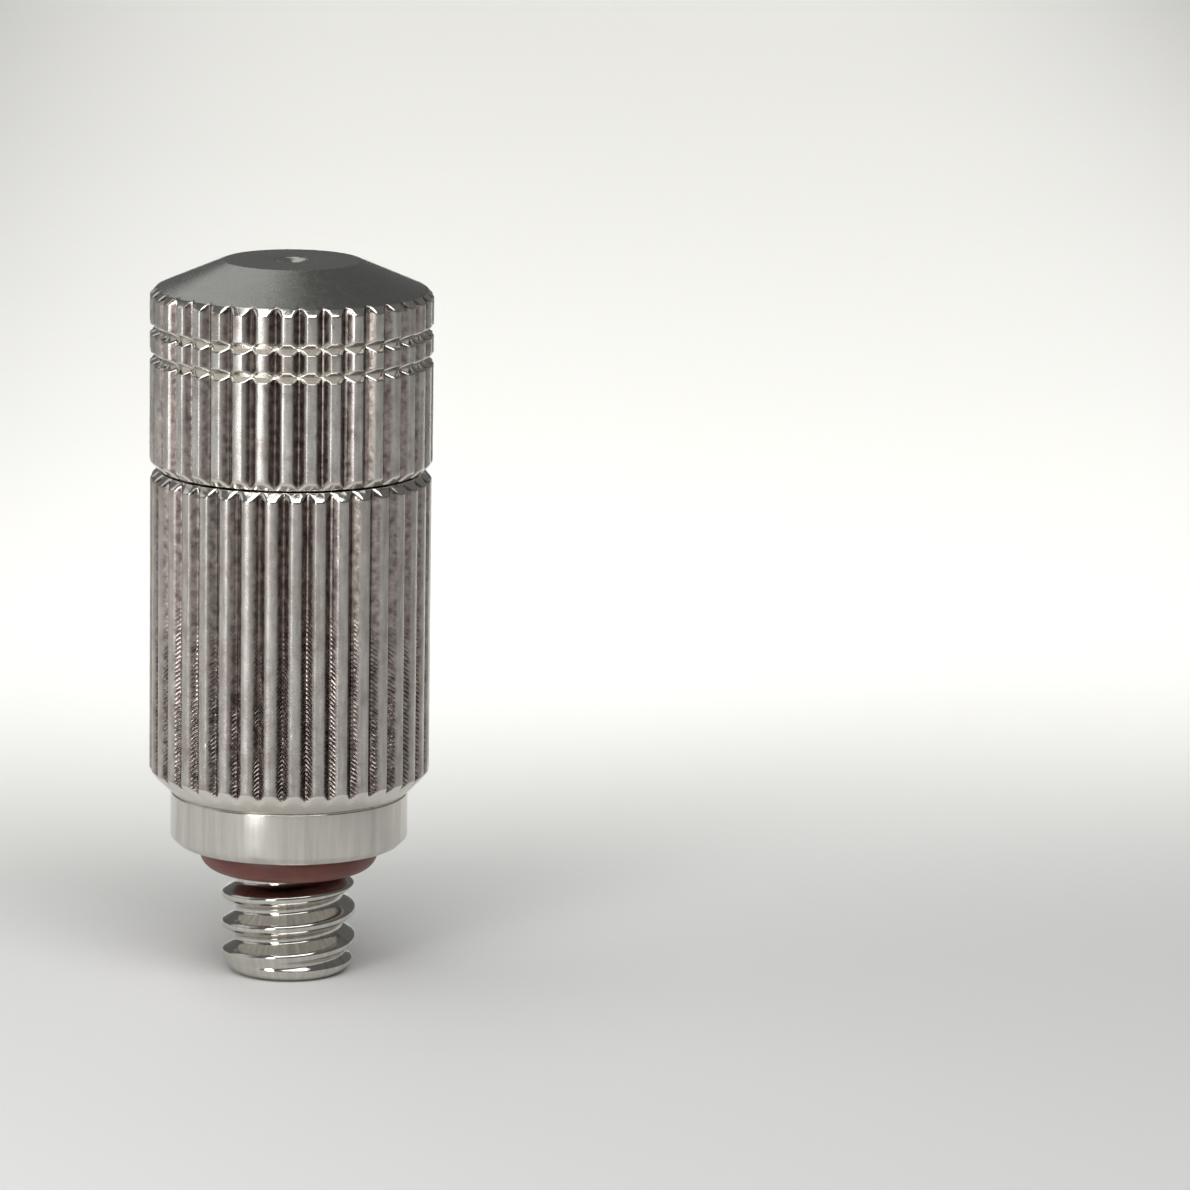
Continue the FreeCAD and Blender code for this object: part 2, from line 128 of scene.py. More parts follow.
# --- cap ---
PARTING_CHAMFER = 0.31
GROOVES_Z = (22.12, 23.11)
GROOVE_DEPTH = 0.36
GROOVE_HALF = GROOVE_DEPTH * CUT_HALF_TAN
RIM_R, RIM_Z = 4.75, 24.50
PLATEAU_R = 2.42
NIPPLE_R, NIPPLE_PLAY = 0.60, 0.012
SEAL_BORE_R = 3.00
CEILING_Z = 23.10
INSERT_R = 1.70
INSERT_SEAT_Z = 24.60

# --- orifice insert ---
NIPPLE_DROP, NIPPLE_LIP = 0.01, 0.05
DIMPLE_R, DIMPLE_DEPTH = 0.16, 0.14
ORIFICE_R, ORIFICE_DEPTHS = 0.10, (0.26, 0.61)
CONE_R, CONE_BREAK = 0.48, 0.02

# --- barrel ---
FOOT_R = 4.21
PARTING_Z = 18.08
NOSE_R = 2.90
NOSE_GROOVE = (2.30, 21.75, 22.45)
SOCKET_R, SOCKET_TOP_Z = 2.90, 9.90
SEAT_BORE_R, SEAT_TOP_Z = 2.05, 15.00
VALVE_BORE_R = 1.85

# --- cap thread ---
CAP_THREAD = {"pitch": 0.75, "ridge_z": 18.975, "crest": 0.09, "depth": 0.42}
CAP_THREAD_R, CAP_THREAD_PLAY = 3.50, 0.10
SPIGOT_THREAD_Z = (18.70, 21.30)
CAP_THREAD_TOP_Z, RELIEF_TOP_Z, RELIEF_R = 20.80, 21.55, 3.55

# --- inlet stem ---
INLET_THREAD = {"pitch": 25.4 / 24, "ridge_z": 1.21, "crest": 0.20, "depth": 0.553}
INLET_R, INLET_END_R, NECK_R = 2.413, 1.71, 1.87
INLET_THREAD_TOP_Z, RUNOUT_SLOPE = 3.70, 1.02
POLISHED_SOFTNESS, END_SOFTNESS = 0.10, 0.05
TIP_HEIGHT = 1.05
TIP_BLEND_Z = (0.15, 1.05)
INLET_BORE_R, INLET_MOUTH_R = 0.90, 1.15
COLLAR_BOTTOM_Z, COLLAR_TOP_Z = 4.70, 6.60
COLLAR_TOP_BREAK, COLLAR_LOWER_BREAK = 0.07, 0.26
POCKET_R, POCKET_DEPTH = 3.35, 0.34
FILTER_R, FILTER_SEAT_Z = 1.70, 8.00
SPIGOT_BREAK = 0.25

# --- O-ring ---
FLASH_HEIGHT, FLASH_WIDTH = 0.006, 0.06

# --- spring ---
SPRING_MEAN_R, SPRING_WIRE, SPRING_COILS = 1.20, 0.30, 7
SPRING_SPLIT = 2.5
RINGS_PER_COIL = 48


# ---------------------------------------------------------------- outlines

def rounded(points, step):
    """An outline of (radius, height, corner) points, its corners rounded.

    It comes back as (radius, height) pairs no further apart than step.
    """
    places = [np.array(p[:2], float) for p in points]
    corners = [p[2] for p in points]
    path = [places[0]]
    for before, here, after, corner in zip(places, places[1:], places[2:], corners[1:]):
        if corner == 0:
            path.append(here)
            continue
        start = here + unit(before - here) * corner
        end = here + unit(after - here) * corner
        for t in (0, 0.25, 0.5, 0.75, 1):
            path.append((1 - t) ** 2 * start + 2 * t * (1 - t) * here + t ** 2 * end)
    path.append(places[-1])
    spaced = [path[0]]
    for start, end in zip(path, path[1:]):
        parts = max(1, math.ceil(np.linalg.norm(end - start) / step))
        spaced += [start + (end - start) * k / parts for k in range(1, parts + 1)]
    return np.array(spaced)


def unit(vector):
    """The vector at a length of one."""
    return vector / np.linalg.norm(vector)


def soft_min(a, b, softness):
    """The smaller of two lengths, with a round where they meet."""
    return (a + b - np.sqrt((a - b) ** 2 + softness ** 2)) / 2


def soft_max(a, b, softness):
    """The larger of two lengths, with a round where they meet."""
    return (a + b + np.sqrt((a - b) ** 2 + softness ** 2)) / 2


# ---------------------------------------------------------------- rings

def ring(angles, radius, z):
    """Points round the axis at a radius and a height, each a number or one a column."""
    radius = np.broadcast_to(radius, angles.shape)
    z = np.broadcast_to(z, angles.shape)
    return np.stack([radius * np.cos(angles), radius * np.sin(angles), z], axis=1)


def turned_rings(angles, points, step):
    return [ring(angles, r, z) for r, z in rounded(points, step)]


def even_angles(count):
    return np.arange(count) * FULL_TURN / count


def mesh_through(name, rings, closed=True):
    """A mesh through rings of points, each joined to the next.

    The last ring joins the first, or else both end in a flat face. Where one ring has
    several times another's points, the faces fan out to fit.
    """
    starts = np.cumsum([0] + [len(r) for r in rings])
    faces = []
    following = [(i, i + 1) for i in range(len(rings) - 1)]
    if closed:
        following.append((len(rings) - 1, 0))
    for a, b in following:
        faces += faces_between(starts[a], len(rings[a]), starts[b], len(rings[b]))
    if not closed:
        faces.append([int(i) for i in range(starts[0], starts[1])][::-1])
        faces.append([int(i) for i in range(starts[-2], starts[-1])])
    mesh = bpy.data.meshes.new(name)
    mesh.from_pydata((np.concatenate(rings) * MM).tolist(), [], faces)
    if volume_of(mesh) < 0:
        mesh.flip_normals()
    mesh.shade_smooth()
    mesh.set_sharp_from_angle(angle=SHARP_ANGLE)
    piece = bpy.data.objects.new(name, mesh)
    bpy.context.scene.collection.objects.link(piece)
    return piece


def faces_between(first_a, count_a, first_b, count_b):
    """The faces between two rings. One's count of points is a multiple of the other's."""
    if count_a < count_b:
        turned = faces_between(first_b, count_b, first_a, count_a)
        return [face[::-1] for face in turned]
    ratio = count_a // count_b
    faces = []
    for k in range(count_b):
        side_a = [first_a + (k * ratio + i) % count_a for i in range(ratio + 1)]
        side_b = [first_b + (k + 1) % count_b, first_b + k]
        faces.append([int(i) for i in side_a + side_b])
    return faces


# ---------------------------------------------------------------- knurl

def knurl_angles(first_tooth):
    """Where a knurled piece's columns stand: close together at the teeth's edges."""
    tooth = FULL_TURN / TEETH
    valleys = first_tooth + tooth / 2 + np.arange(TEETH) * tooth
    return (valleys[:, None] + np.array(TOOTH_SAMPLES) / KNURL_R).ravel()


def knurl_radii(angles, first_tooth, heights, random):
    """The knurled bar's radius at each height and angle, with its wear."""
    tooth = FULL_TURN / TEETH
    number = np.repeat(np.arange(TEETH), len(TOOTH_SAMPLES))
    across = np.tile(TOOTH_SAMPLES, TEETH)
    gap_half = tooth / 2 - LAND_HALF / KNURL_R
    corner_r = KNURL_R * math.cos(gap_half)
    vertex_r = corner_r - KNURL_R * math.sin(gap_half) / FLANK_TAN
    spread = random.normal(0, TOOTH_SPREAD, TEETH)[number]
    flank = vertex_r + spread + np.sqrt(across ** 2 + VALLEY_SOFTNESS ** 2) / FLANK_TAN
    z = np.asarray(heights)[:, None]
    count = len(WAVES_PER_MM)
    phase = random.uniform(0, FULL_TURN, (count, TEETH))[:, number]
    waves = sum(np.sin(z * k + p) for k, p in zip(WAVES_PER_MM, phase))
    land = KNURL_R - WAVINESS * (count + waves) / count
    radii = soft_min(np.broadcast_to(flank, land.shape), land, LAND_SOFTNESS[first_tooth])
    return radii - nick_depths(across, number, z, random)


def nick_depths(across, number, z, random):
    """Small dents, most of them on the edges of the lands."""
    depths = np.zeros((len(z), len(across)))
    low, high = z.min(), z.max()
    for tooth in range(TEETH):
        columns = np.flatnonzero(number == tooth)
        for _ in range(NICKS_PER_TOOTH):
            side = random.choice([-1, 1])
            middle = side * random.normal(NICK_OFFSET, NICK_OFFSET_SPREAD)
            height = random.uniform(low, high)
            size = random.uniform(*NICK_SIZES)
            depth = NICK_DEPTH * random.uniform(0.2, 1.0) * size
            shape = np.exp(
                -((across[columns] - middle) / (NICK_WIDTH * size)) ** 2
                - ((z - height) / (NICK_LENGTH * size)) ** 2
            )
            depths[:, columns] += depth * shape
    return depths


def knurled_rings(angles, first_tooth, points, step, random):
    """Rings of a turned outline that the knurl's valleys cut into."""
    outline = rounded(points, step)
    radii = knurl_radii(angles, first_tooth, outline[:, 1], random)
    clipped = soft_min(radii, outline[:, :1], LAND_SOFTNESS[first_tooth])
    return [ring(angles, r, z) for r, z in zip(clipped, outline[:, 1])]


# ---------------------------------------------------------------- threads

def thread_radii(angles, heights, major_r, thread, softness):
    """An external thread's radius at each height and angle."""
    z = np.asarray(heights)[:, None]
    turns = (z - thread["ridge_z"]) / thread["pitch"] - angles / FULL_TURN
    from_ridge = np.abs(turns - np.round(turns)) * thread["pitch"]
    down = (from_ridge - thread["crest"] / 2) / CUT_HALF_TAN
    ridge = soft_min(major_r - down, major_r, softness)
    return soft_max(ridge, major_r - thread["depth"], softness)


def heights_between(low, high, step):
    return np.linspace(low, high, math.ceil((high - low) / step) + 1)


# ---------------------------------------------------------------- pieces

def make_barrel():
    """The knurled barrel with its threaded spigot, nose and bores."""
    random = np.random.default_rng(BARREL_SEED)
    fine = knurl_angles(BARREL_TOOTH)
    coarse = fine[::COARSE]
    rings = turned_rings(coarse, [(SOCKET_R, FOOT_Z, 0), (FOOT_R - 0.08, FOOT_Z, 0)], 1)
    rings += knurled_rings(fine, BARREL_TOOTH, [
        (FOOT_R - 0.07, FOOT_Z, 0),
        (FOOT_R, FOOT_Z, 0.035),
        (KNURL_R, FOOT_Z + KNURL_R - FOOT_R, 0.05),
        (KNURL_R, PARTING_Z - PARTING_CHAMFER, 0.05),
        (KNURL_R - PARTING_CHAMFER, PARTING_Z, 0.04),
        (KNURL_R - PARTING_CHAMFER - 0.08, PARTING_Z, 0),
    ], KNURL_STEP, random)
    rings += spigot_rings(coarse)
    rings += turned_rings(coarse, [
        (VALVE_BORE_R, NOSE_TOP_Z, 0),
        (VALVE_BORE_R, SEAT_TOP_Z, 0),
        (SEAT_BORE_R, SEAT_TOP_Z, 0),
        (SEAT_BORE_R, SOCKET_TOP_Z, 0),
        (SOCKET_R, SOCKET_TOP_Z, 0),
        (SOCKET_R, FOOT_Z + 0.01, 0),
    ], 5)
    piece = mesh_through("knurled_barrel", rings)
    finish_piece(piece, "barrel", "barrel", KNURLED_STEEL)


def spigot_rings(angles):
    """The barrel's threaded spigot and its grooved nose."""
    low, high = SPIGOT_THREAD_Z
    heights = heights_between(low, high, SPIGOT_STEP)
    major_r = CAP_THREAD_R - CAP_THREAD_PLAY
    radii = thread_radii(angles, heights, major_r, CAP_THREAD, THREAD_SOFTNESS)
    lead = NOSE_R + np.minimum(heights - low, high - heights)[:, None]
    radii = np.maximum(np.minimum(radii, lead), NOSE_R)
    groove_r, groove_low, groove_high = NOSE_GROOVE
    rings = turned_rings(angles, [(NOSE_R, PARTING_Z, 0), (NOSE_R, low - 0.01, 0)], 1)
    rings += [ring(angles, r, z) for r, z in zip(radii, heights)]
    rings += turned_rings(angles, [
        (NOSE_R, high + 0.01, 0),
        (NOSE_R, groove_low, 0.03),
        (groove_r, groove_low, 0.05),
        (groove_r, groove_high, 0.05),
        (NOSE_R, groove_high, 0.03),
        (NOSE_R, NOSE_TOP_Z - 0.20, 0.03),
        (NOSE_R - 0.20, NOSE_TOP_Z, 0.03),
        (VALVE_BORE_R + 0.03, NOSE_TOP_Z, 0),
    ], 0.4)
    return rings


def make_cap():
    """The knurled cap: two V grooves, a conical face and the bores inside."""
    random = np.random.default_rng(CAP_SEED)
    fine = knurl_angles(CAP_TOOTH)
    coarse = fine[::COARSE]
    outline = [
        (KNURL_R - PARTING_CHAMFER - 0.08, CAP_RIM_LOW_Z, 0),
        (KNURL_R - PARTING_CHAMFER, CAP_RIM_LOW_Z, 0.04),
        (KNURL_R, CAP_RIM_LOW_Z + PARTING_CHAMFER, 0.05),
    ]
    for middle in GROOVES_Z:
        outline += [
            (KNURL_R, middle - GROOVE_HALF, 0.03),
            (KNURL_R - GROOVE_DEPTH, middle, 0.04),
            (KNURL_R, middle + GROOVE_HALF, 0.03),
        ]
    outline += [
        (KNURL_R, RIM_Z - (KNURL_R - RIM_R), 0.04),
        (RIM_R, RIM_Z, 0.05),
        (PLATEAU_R, NOZZLE_TOP_Z, 0.06),
        (PLATEAU_R - 0.08, NOZZLE_TOP_Z, 0),
    ]
    rings = knurled_rings(fine, CAP_TOOTH, outline, KNURL_STEP, random)
    rings += turned_rings(coarse, [
        (PLATEAU_R - 0.12, NOZZLE_TOP_Z, 0),
        (NIPPLE_R + NIPPLE_PLAY, NOZZLE_TOP_Z, 0.03),
        (NIPPLE_R + NIPPLE_PLAY, INSERT_SEAT_Z, 0),
        (INSERT_R, INSERT_SEAT_Z, 0),
        (INSERT_R, CEILING_Z, 0),
        (SEAL_BORE_R, CEILING_Z, 0),
        (SEAL_BORE_R, RELIEF_TOP_Z, 0),
        (RELIEF_R, RELIEF_TOP_Z, 0),
        (RELIEF_R, CAP_THREAD_TOP_Z + 0.01, 0),
    ], 1.5)
    rings += cap_thread_rings(coarse)
    piece = mesh_through("knurled_spray_cap", rings)
    finish_piece(piece, "cap", "spray_cap", KNURLED_STEEL)


def cap_thread_rings(angles):
    """The thread inside the cap, from its top down to the rim."""
    heights = heights_between(CAP_RIM_LOW_Z, CAP_THREAD_TOP_Z, SPIGOT_STEP)[::-1]
    radii = thread_radii(angles, heights, CAP_THREAD_R, CAP_THREAD, THREAD_SOFTNESS)
    entry = RELIEF_R - (heights - CAP_RIM_LOW_Z)[:, None]
    radii = np.maximum(radii, entry)
    return [ring(angles, r, z) for r, z in zip(radii, heights)]


def make_stem():
    """The collar and the polished 10-24 inlet thread."""
    angles = even_angles(240)
    heights = heights_between(0, INLET_THREAD_TOP_Z, INLET_STEP)
    radii = thread_radii(angles, heights, INLET_R, INLET_THREAD, POLISHED_SOFTNESS)
    radii = fade_to_tip(radii, heights)
    z = heights[:, None]
    tip = tip_radius(z)
    runout = NECK_R + (INLET_THREAD_TOP_Z - z) * RUNOUT_SLOPE
    radii = soft_min(soft_min(radii, tip, END_SOFTNESS), runout, END_SOFTNESS)
    radii[0] = INLET_END_R
    radii[-1] = NECK_R
    rings = turned_rings(angles, [(INLET_MOUTH_R, 0, 0), (INLET_END_R - 0.03, 0, 0)], 1)
    rings += [ring(angles, r, h) for r, h in zip(radii, heights)]
    rings += turned_rings(angles, [
        (NECK_R, INLET_THREAD_TOP_Z + 0.03, 0),
        (NECK_R, COLLAR_BOTTOM_Z + POCKET_DEPTH, 0.05),
        (POCKET_R, COLLAR_BOTTOM_Z + POCKET_DEPTH, 0.05),
        (POCKET_R, COLLAR_BOTTOM_Z, 0.03),
        (COLLAR_R - COLLAR_LOWER_BREAK, COLLAR_BOTTOM_Z, 0.06),
        (COLLAR_R, COLLAR_BOTTOM_Z + COLLAR_LOWER_BREAK, 0.06),
        (COLLAR_R, COLLAR_TOP_Z - COLLAR_TOP_BREAK, 0.03),
        (COLLAR_R - COLLAR_TOP_BREAK, COLLAR_TOP_Z, 0.03),
        (SOCKET_R, COLLAR_TOP_Z, 0),
        (SOCKET_R, STEM_HIGH.z - SPIGOT_BREAK, 0.05),
        (SOCKET_R - SPIGOT_BREAK, STEM_HIGH.z, 0.05),
        (FILTER_R, STEM_HIGH.z, 0),
        (FILTER_R, FILTER_SEAT_Z, 0),
        (INLET_BORE_R, FILTER_SEAT_Z, 0),
        (INLET_BORE_R, INLET_MOUTH_R - INLET_BORE_R, 0.05),
        (INLET_MOUTH_R, 0.01, 0),
    ], 0.5)
    piece = mesh_through("inlet_thread_and_collar", rings)
    finish_piece(piece, "barrel", "inlet_stem", TURNED_STEEL)


def tip_radius(z):
    """The thread's end rounds in, like a quarter of an ellipse, to the end face."""
    share = np.clip(1 - z / TIP_HEIGHT, 0, 1)
    return INLET_END_R + (INLET_R - INLET_END_R) * np.sqrt(1 - share ** 2)


def fade_to_tip(radii, heights):
    """The groove starts shallow in the first half turn."""
    low, high = TIP_BLEND_Z
    share = np.clip((heights - low) / (high - low), 0, 1)[:, None]
    share = share ** 2 * (3 - 2 * share)
    return INLET_R - (INLET_R - radii) * share


def make_inlet_ring():
    """The brown O-ring, with the fine flash line of its mould."""
    section_r = (RING_HIGH.z - RING_LOW.z) / 2
    centre_r = RING_HIGH.x - section_r
    centre_z = (RING_HIGH.z + RING_LOW.z) / 2
    angles = even_angles(192)
    rings = []
    for turn in even_angles(56):
        flash = FLASH_HEIGHT * math.exp(-(math.sin(turn) / FLASH_WIDTH) ** 2)
        across = section_r - FLASH_HEIGHT + flash
        rings.append(ring(angles, centre_r + across * math.cos(turn),
                          centre_z + across * math.sin(turn)))
    piece = mesh_through("moulded_inlet_o_ring", rings)
    finish_piece(piece, "barrel", "inlet_o_ring", BROWN_RUBBER)


def make_insert():
    """The orifice insert: a dimple in the nipple's end, with the spray hole in it."""
    angles = even_angles(144)
    nipple_top_z = NOZZLE_TOP_Z - NIPPLE_DROP
    hole_top, hole_bottom = ORIFICE_DEPTHS
    rings = turned_rings(angles, [
        (CONE_R, INSERT_LOW.z, 0),
        (INSERT_R, INSERT_LOW.z, 0.03),
        (INSERT_R, INSERT_SEAT_Z, 0.03),
        (NIPPLE_R, INSERT_SEAT_Z, 0),
        (NIPPLE_R, nipple_top_z, 0.02),
        (NIPPLE_R - NIPPLE_LIP, nipple_top_z, 0.02),
        (DIMPLE_R, NOZZLE_TOP_Z - DIMPLE_DEPTH, 0.02),
        (ORIFICE_R, NOZZLE_TOP_Z - hole_top, 0.02),
        (ORIFICE_R, NOZZLE_TOP_Z - hole_bottom, 0.02),
        (CONE_R - CONE_BREAK, INSERT_LOW.z + CONE_BREAK, 0),
    ], 0.08)
    piece = mesh_through("spray_orifice_insert", rings)
    finish_piece(piece, "cap", "orifice_insert", TURNED_STEEL)


def spring_part(name, first, last):
    """Part of the valve spring's round wire, between two counts of coils."""
    length = SPRING_HIGH.z - SPRING_LOW.z - SPRING_WIRE
    wire_angles = even_angles(16)
    rings = []
    for coil in np.linspace(first, last, int((last - first) * RINGS_PER_COIL) + 1):
        turn = coil * FULL_TURN
        height = SPRING_LOW.z + SPRING_WIRE / 2 + length * coil / SPRING_COILS
        out = SPRING_MEAN_R + SPRING_WIRE / 2 * np.cos(wire_angles)
        up = height + SPRING_WIRE / 2 * np.sin(wire_angles)
        rings.append(np.stack([out * math.cos(turn), out * math.sin(turn), up], axis=1))
    piece = mesh_through(name, rings, closed=False)
    piece.data.materials.append(SPRING_STEEL)
    bpy.context.view_layer.update()
    return piece


def make_spring():
    """The valve spring, made as its lower and its upper coils."""
    lower = spring_part("valve_spring_lower_coils", 0, SPRING_SPLIT)
    upper = spring_part("valve_spring_upper_coils", SPRING_SPLIT, SPRING_COILS)
    for piece, body, end in ((lower, "poppet", SPRING_LOW.z), (upper, "core", SPRING_HIGH.z)):
        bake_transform(piece)
        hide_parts("valve_spring")


def finish_piece(piece, body, node, material):
    """The piece moves with its body, stands for its CAD node and gets its finish."""
    piece.data.materials.append(material)
    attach(piece, body)
    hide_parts(node)


def volume_of(mesh):
    """A closed mesh's volume, negative where its faces look inwards."""
    mesh.calc_loop_triangles()
    points = np.empty(len(mesh.vertices) * 3)
    mesh.vertices.foreach_get("co", points)
    corners = np.empty(len(mesh.loop_triangles) * 3, int)
    mesh.loop_triangles.foreach_get("vertices", corners)
    a, b, c = points.reshape(-1, 3)[corners].reshape(-1, 3, 3).transpose(1, 0, 2)
    return float(np.einsum("ij,ij->i", a, np.cross(b, c)).sum()) / 6


# ---------------------------------------------------------------- materials

class Nodes:
    """A material's node tree, with short ways to add to it."""

    def __init__(self, name):
        self.material = bpy.data.materials.new(name)
        self.material.use_nodes = True
        self.tree = self.material.node_tree
        self.shader = self.tree.nodes["Principled BSDF"]

    def add(self, kind, inputs=None, **settings):
        """A node, with its inputs set to values or linked to other nodes' outputs."""
        node = self.tree.nodes.new(kind)
        for setting, value in settings.items():
            setattr(node, setting, value)
        self.feed(node, inputs or {})
        return node

    def feed(self, node, inputs):
        for name, value in inputs.items():
            if isinstance(value, bpy.types.NodeSocket):
                self.tree.links.new(value, node.inputs[name])
            else:
                node.inputs[name].default_value = value

    def math(self, operation, a, b=0.0, c=0.0):
        node = self.add("ShaderNodeMath", {0: a, 1: b, 2: c}, operation=operation)
        return node.outputs[0]

    def join(self, x=0.0, y=0.0, z=0.0):
        return self.add("ShaderNodeCombineXYZ", {0: x, 1: y, 2: z}).outputs[0]

    def noise(self, vector, scale, detail=2.0, roughness=0.5):
        inputs = {"Vector": vector, "Scale": scale, "Detail": detail, "Roughness": roughness}
        return self.add("ShaderNodeTexNoise", inputs).outputs["Fac"]

    def spread(self, value, low, high, to_low, to_high):
        """A value's range mapped to another, and held at its ends."""
        inputs = {"Value": value, "From Min": low, "From Max": high,
                  "To Min": to_low, "To Max": to_high}
        return self.add("ShaderNodeMapRange", inputs, clamp=True).outputs["Result"]

    def blend(self, share, first, second):
        """A colour between two, by share."""
        node = self.add("ShaderNodeMix", data_type="RGBA")
        self.feed(node, {0: share, 6: first, 7: second})
        return node.outputs[2]

    def bump(self, height, distance, under=None):
        inputs = {"Height": height, "Distance": distance * MM, "Strength": 1.0}
        if under is not None:
            inputs["Normal"] = under
        return self.add("ShaderNodeBump", inputs).outputs["Normal"]

    def places(self):
        """Millimetres round the axis at the knurl, along it, out from it, and all three."""
        coords = self.add("ShaderNodeTexCoord").outputs["Object"]
        scaled = self.add("ShaderNodeVectorMath", {0: coords, "Scale": 1 / MM},
                          operation="SCALE").outputs[0]
        split = self.add("ShaderNodeSeparateXYZ", {0: scaled})
        x, y, z = split.outputs
        angle = self.math("ARCTAN2", x, self.math("MULTIPLY", y, -1.0))
        around = self.math("MULTIPLY", angle, KNURL_R)
        out = self.math("SQRT", self.math("ADD", self.math("MULTIPLY", x, x),
                                          self.math("MULTIPLY", y, y)))
        return around, z, out, scaled

    def tilt(self):
        """How far a face leans from upright: 0 on the walls, 1 where it faces up or down."""
        normal = self.add("ShaderNodeTexCoord").outputs["Normal"]
        split = self.add("ShaderNodeSeparateXYZ", {0: normal})
        return self.math("ABSOLUTE", split.outputs[2])

    def round_axis(self):
        """The direction of a lathe's tool marks."""
        node = self.add("ShaderNodeTangent", direction_type="RADIAL", axis="Z")
        return node.outputs[0]


def rgb(red, green, blue):
    return (red, green, blue, 1.0)


def knurled_steel():
    """Turned lands, valleys darkened by oily residue and painted shade, roll marks, and a satin
    face painted darker as shade.
    """
    nodes = Nodes("knurled_steel")
    around, along, out, place = nodes.places()
    depth = nodes.math("SUBTRACT", KNURL_R, out)
    upright = nodes.spread(nodes.tilt(), 0.15, 0.4, 1.0, 0.0)
    face = nodes.spread(along, RIM_Z - 0.06, RIM_Z, 0.0, 1.0)
    # In the colour, this mask paints shade from the lands' rounded edges down into the valleys.
    valley = nodes.math("MULTIPLY", upright, nodes.spread(depth, 0.03, 0.16, 0.0, 1.0))
    patches = nodes.noise(place, 0.8, 4.0)
    mottle = nodes.noise(place, 4.0, 4.0, 0.6)
    grain = nodes.noise(place, 16.0, 3.0, 0.6)
    drawn = nodes.join(nodes.math("MULTIPLY", around, 3.2), nodes.math("MULTIPLY", along, 0.3))
    streaks = nodes.spread(nodes.noise(drawn, 1.6, 4.0, 0.6), 0.32, 0.68, 0.0, 1.0)
    steel = nodes.blend(streaks, rgb(0.42, 0.405, 0.385), rgb(0.68, 0.655, 0.615))
    film = nodes.spread(nodes.noise(place, 1.1, 5.0, 0.65), 0.46, 0.66, 0.0, 0.7)
    land_colour = nodes.blend(film, steel, rgb(0.36, 0.31, 0.285))
    # The valleys' dark colour is partly oily residue and partly painted shade.
    valley_residue_and_shade = nodes.blend(nodes.spread(mottle, 0.35, 0.65, 0.0, 1.0),
                        rgb(0.115, 0.093, 0.084), rgb(0.33, 0.285, 0.262))
    knurl_colour_with_shade = nodes.blend(valley, land_colour, valley_residue_and_shade)
    # Painted shade: the conical face's steel is a darker green-grey than the cut steel, standing
    # in for the dark it reflects.
    face_colour_painted_darker = nodes.blend(patches, rgb(0.36, 0.365, 0.345), rgb(0.43, 0.43, 0.405))
    bare = nodes.blend(upright, rgb(0.74, 0.71, 0.66), knurl_colour_with_shade)
    rough = nodes.spread(mottle, 0.3, 0.7, 0.20, 0.32)
    rough = nodes.math("SUBTRACT", rough, nodes.math("MULTIPLY", valley, 0.08))
    cut = nodes.math("SUBTRACT", 1.0, nodes.math("MAXIMUM", upright, face))
    rough = nodes.math("SUBTRACT", rough, nodes.math("MULTIPLY", cut, 0.10))
    nodes.feed(nodes.shader, {
        "Metallic": 1.0,
        "Base Color": nodes.blend(face, bare, face_colour_painted_darker),
        "Roughness": nodes.math("SUBTRACT", rough, nodes.math("MULTIPLY", face, 0.02)),
    })
    chevron = nodes.math("SUBTRACT", along, nodes.math("MULTIPLY", depth, ROLL_MARK_SLANT))
    phase = nodes.math("MULTIPLY", chevron, FULL_TURN / ROLL_MARK_PITCH)
    marks = nodes.math("SINE", nodes.math("ADD", phase, nodes.math("MULTIPLY", mottle, 5.0)))
    deep = nodes.math("MULTIPLY", valley, nodes.spread(depth, 0.12, 0.22, 0.0, 1.0))
    strength = nodes.math("MULTIPLY", nodes.spread(along, *ROLL_MARKS_FADE_Z, 1.0, 0.0),
                          nodes.math("MULTIPLY", deep,
                                     nodes.spread(patches, 0.35, 0.6, 0.35, 1.0)))
    rolled = nodes.bump(nodes.math("MULTIPLY", marks, strength), ROLL_MARK_DEPTH)
    turned = nodes.noise(nodes.join(0.0, 0.0, nodes.math("MULTIPLY", out, 9.0)), 1.0, 3.0)
    lathe = nodes.bump(nodes.math("MULTIPLY", turned, face), 0.004, rolled)
    nodes.feed(nodes.shader, {"Normal": nodes.bump(grain, 0.004, lathe)})
    return nodes.material


def turned_steel():
    """Fine turned steel: tool marks and a satin on the collar, a polish on the thread."""
    nodes = Nodes("turned_steel")
    around, along, out, place = nodes.places()
    thread = nodes.spread(along, INLET_THREAD_TOP_Z, INLET_THREAD_TOP_Z + 0.4, 1.0, 0.0)
    rings = nodes.join(0.0, 0.0, nodes.math("MULTIPLY", nodes.math("ADD", along, out), 9.0))
    tooling = nodes.noise(rings, 1.6, 5.0, 0.6)
    clouds = nodes.noise(place, 0.8, 3.0)
    grain = nodes.noise(place, 22.0, 3.0)
    satin = nodes.spread(clouds, 0.3, 0.7, 0.17, 0.25)
    wiped = nodes.join(nodes.math("MULTIPLY", around, 1.5), nodes.math("MULTIPLY", along, 0.12))
    streaks = nodes.spread(nodes.noise(wiped, 1.3, 4.0, 0.6), 0.3, 0.7, 0.0, 1.0)
    nodes.feed(nodes.shader, {
        "Metallic": 1.0,
        "Base Color": nodes.blend(streaks, rgb(0.48, 0.46, 0.425), rgb(0.68, 0.66, 0.615)),
        "Roughness": nodes.math("SUBTRACT", satin, nodes.math("MULTIPLY", thread, 0.10)),
        "Anisotropic": TURNED_ANISOTROPY,
        "Anisotropic Rotation": TURNED_ROTATION,
        "Tangent": nodes.round_axis(),
    })
    tooled = nodes.bump(tooling, 0.003)
    nodes.feed(nodes.shader, {"Normal": nodes.bump(grain, 0.0012, tooled)})
    return nodes.material


